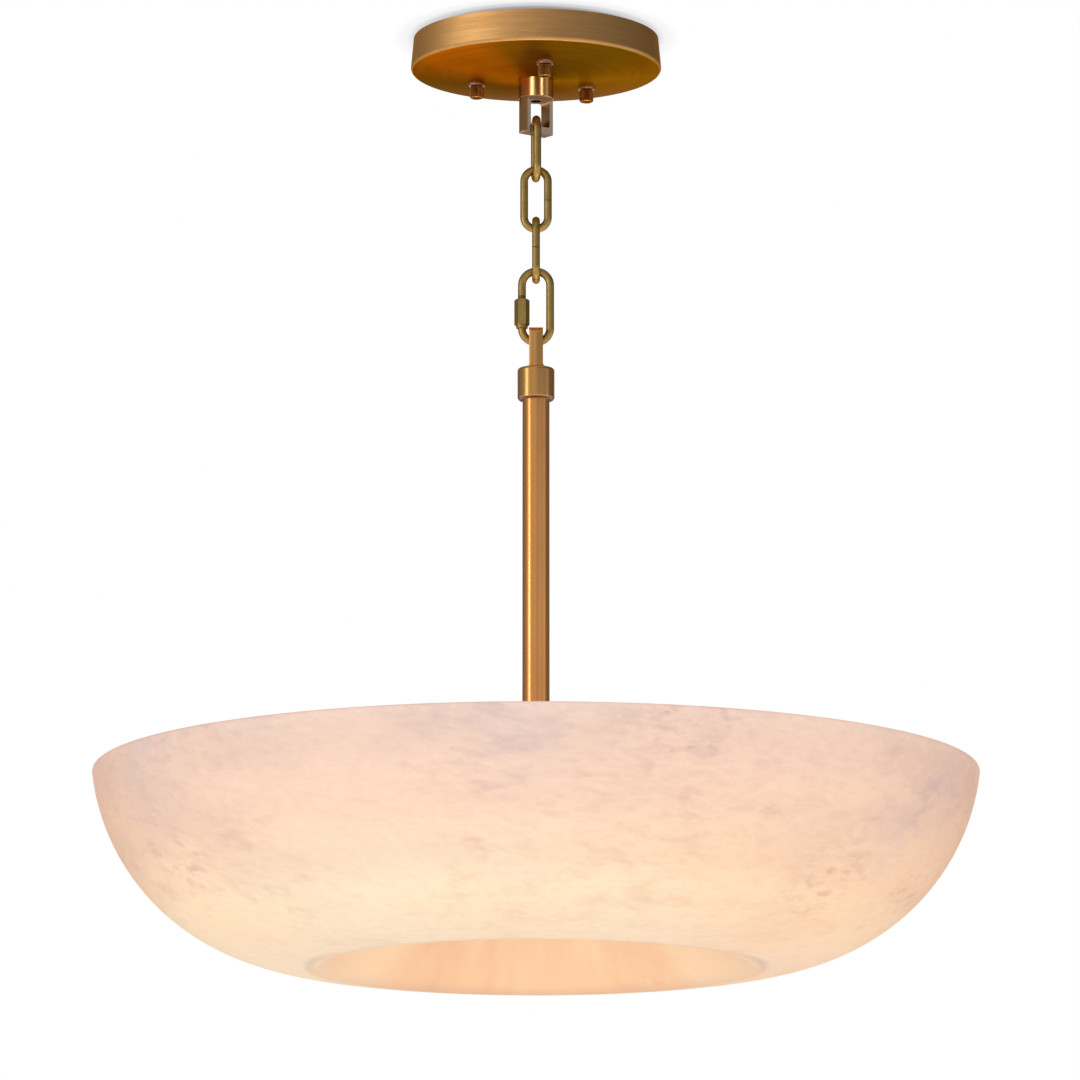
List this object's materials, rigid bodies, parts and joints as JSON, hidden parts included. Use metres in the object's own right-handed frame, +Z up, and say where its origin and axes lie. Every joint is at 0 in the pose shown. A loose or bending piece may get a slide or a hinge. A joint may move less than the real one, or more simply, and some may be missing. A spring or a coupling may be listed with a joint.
{
  "type": "alabaster bowl pendant light",
  "caption": "Ceiling pendant light with a wide translucent alabaster bowl on a brass stem, short link chain and round canopy, with lamps on arms inside the bowl.",
  "frame": {"origin": "centre of the canopy's top edge, in the ceiling plane, on the stem's axis", "axes": "+Z up along the stem into the ceiling, +X towards the viewer's right, front is -Y"},
  "size_m": [0.5282, 0.5282, 0.5672],
  "materials": {
    "satin_brass": "satin, turned grain",
    "copper_brass": "satin, aged",
    "antique_brass": "antique, dark",
    "zinc_steel": "zinc plated",
    "green_screw": "green",
    "hub_brass": "satin",
    "alabaster": "honed, translucent, lit from inside",
    "silicone": "matte",
    "socket_plastic": "matte",
    "lamp_brass": "bright",
    "lamp_glass": "frosted, lit"
  },
  "bodies": {
    "ceiling_mount": {"ceiling_plate": "zinc_steel", "canopy_studs": "zinc_steel", "stud_nuts": "zinc_steel", "ground_screw": "green_screw", "canopy": "satin_brass", "nut_washers": "satin_brass", "canopy_pipe": "zinc_steel", "plate_pipe_nut": "zinc_steel", "canopy_pipe_washer": "zinc_steel", "canopy_pipe_nut": "zinc_steel", "canopy_loop": "copper_brass"},
    "knurled_nut_left": {"knurled_nut_left": "satin_brass"},
    "knurled_nut_front": {"knurled_nut_front": "satin_brass"},
    "knurled_nut_right": {"knurled_nut_right": "satin_brass"},
    "chain_link_1": {"chain_link_1": "antique_brass"},
    "chain_link_2": {"chain_link_2": "antique_brass"},
    "chain_link_3": {"chain_link_3": "antique_brass"},
    "quick_link": {"quick_link": "antique_brass"},
    "quick_link_sleeve": {"quick_link_sleeve": "antique_brass"},
    "stem_and_bowl": {"arm_nuts": "zinc_steel", "bowl": "alabaster", "bulb_1": "lamp_glass", "bulb_2": "lamp_glass", "bulb_3": "lamp_glass", "bulb_4": "lamp_glass", "bulb_5": "lamp_glass", "bulb_6": "lamp_glass", "bulb_base_1": "lamp_brass", "bulb_base_2": "lamp_brass", "bulb_base_3": "lamp_brass", "bulb_base_4": "lamp_brass", "bulb_base_5": "lamp_brass", "bulb_base_6": "lamp_brass", "clamp_nut": "zinc_steel", "clamp_rod": "zinc_steel", "finial": "satin_brass", "hub": "hub_brass", "hub_lid": "hub_brass", "lamp_arm_1": "hub_brass", "lamp_arm_2": "hub_brass", "lamp_arm_3": "hub_brass", "lamp_arm_4": "hub_brass", "lamp_arm_5": "hub_brass", "lamp_arm_6": "hub_brass", "lamp_socket_1": "socket_plastic", "lamp_socket_2": "socket_plastic", "lamp_socket_3": "socket_plastic", "lamp_socket_4": "socket_plastic", "lamp_socket_5": "socket_plastic", "lamp_socket_6": "socket_plastic", "lower_clamp_plate": "satin_brass", "lower_gasket": "silicone", "stem_loop": "copper_brass", "stem_plug": "hub_brass", "stem_tube": "copper_brass", "upper_clamp_plate": "zinc_steel", "upper_gasket": "silicone"}
  },
  "joints": [
    {"name": "link_1_swing", "type": "hinge", "parent": "ceiling_mount", "child": "chain_link_1", "pos_m": [0, 0, -0.057], "axis": [0.9945, 0.1045, 0], "range_deg": [-15, 15]},
    {"name": "link_2_swing", "type": "hinge", "parent": "chain_link_1", "child": "chain_link_2", "pos_m": [0, 0, -0.08638], "axis": [0, 1, 0], "range_deg": [-22.5, 22.5]},
    {"name": "link_3_swing", "type": "hinge", "parent": "chain_link_2", "child": "chain_link_3", "pos_m": [0, 0, -0.11788], "axis": [1, 0, 0], "range_deg": [-15, 15]},
    {"name": "quick_link_swing", "type": "hinge", "parent": "chain_link_3", "child": "quick_link", "pos_m": [0, 0, -0.14938], "axis": [0, 1, 0], "range_deg": [-22.5, 22.5]},
    {"name": "stem_swing", "type": "hinge", "parent": "quick_link", "child": "stem_and_bowl", "pos_m": [0, 0, -0.188], "axis": [1, 0, 0], "range_deg": [-15, 15]},
    {"name": "sleeve_slide", "type": "slide", "parent": "quick_link", "child": "quick_link_sleeve", "axis": [0, 0, 1], "range_m": [0, 0.008]},
    {"name": "nut_right_turn", "type": "hinge", "parent": "ceiling_mount", "child": "knurled_nut_right", "pos_m": [0.03073, 0.02401, -0.02534], "axis": [0, 0, 1], "continuous": true},
    {"name": "nut_left_turn", "type": "hinge", "parent": "ceiling_mount", "child": "knurled_nut_left", "pos_m": [-0.03616, 0.01461, -0.02534], "axis": [0, 0, 1], "continuous": true},
    {"name": "nut_front_turn", "type": "hinge", "parent": "ceiling_mount", "child": "knurled_nut_front", "pos_m": [0.00543, -0.03862, -0.02534], "axis": [0, 0, 1], "continuous": true}
  ]
}
